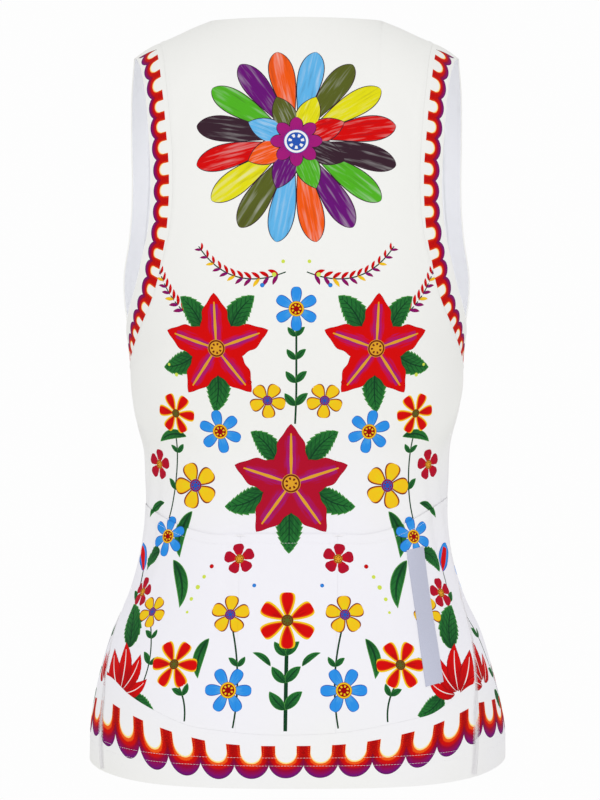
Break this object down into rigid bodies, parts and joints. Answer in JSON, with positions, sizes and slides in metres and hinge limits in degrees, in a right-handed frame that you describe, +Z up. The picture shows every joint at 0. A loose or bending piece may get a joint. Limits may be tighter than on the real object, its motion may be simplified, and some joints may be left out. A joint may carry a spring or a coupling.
{
  "type": "sleeveless sports top",
  "caption": "Close-fitting women's sleeveless sports top in its worn, hollow form, with banded armholes, a curved hem band and patch pockets across the lower back.",
  "frame": {"origin": "midway between the neck ends of the two shoulder seams, where the wearer's shoulders carry the top", "axes": "+Z up, +Y out of the front and -Y out of the back, which the picture shows, +X towards the right side as seen from behind"},
  "size_m": [0.333, 0.25, 0.595],
  "materials": {
    "jersey": "fine matte stretch jersey",
    "reflective_tape": "satin glass-bead tape"
  },
  "bodies": {
    "root": {"back_panel": "jersey", "front_panel": "jersey", "hem_band_back": "jersey", "armhole_band_left": "jersey", "armhole_band_right": "jersey", "pocket_left": "jersey", "pocket_center": "jersey", "pocket_right": "jersey", "reflective_strip": "reflective_tape"}
  },
  "joints": []
}
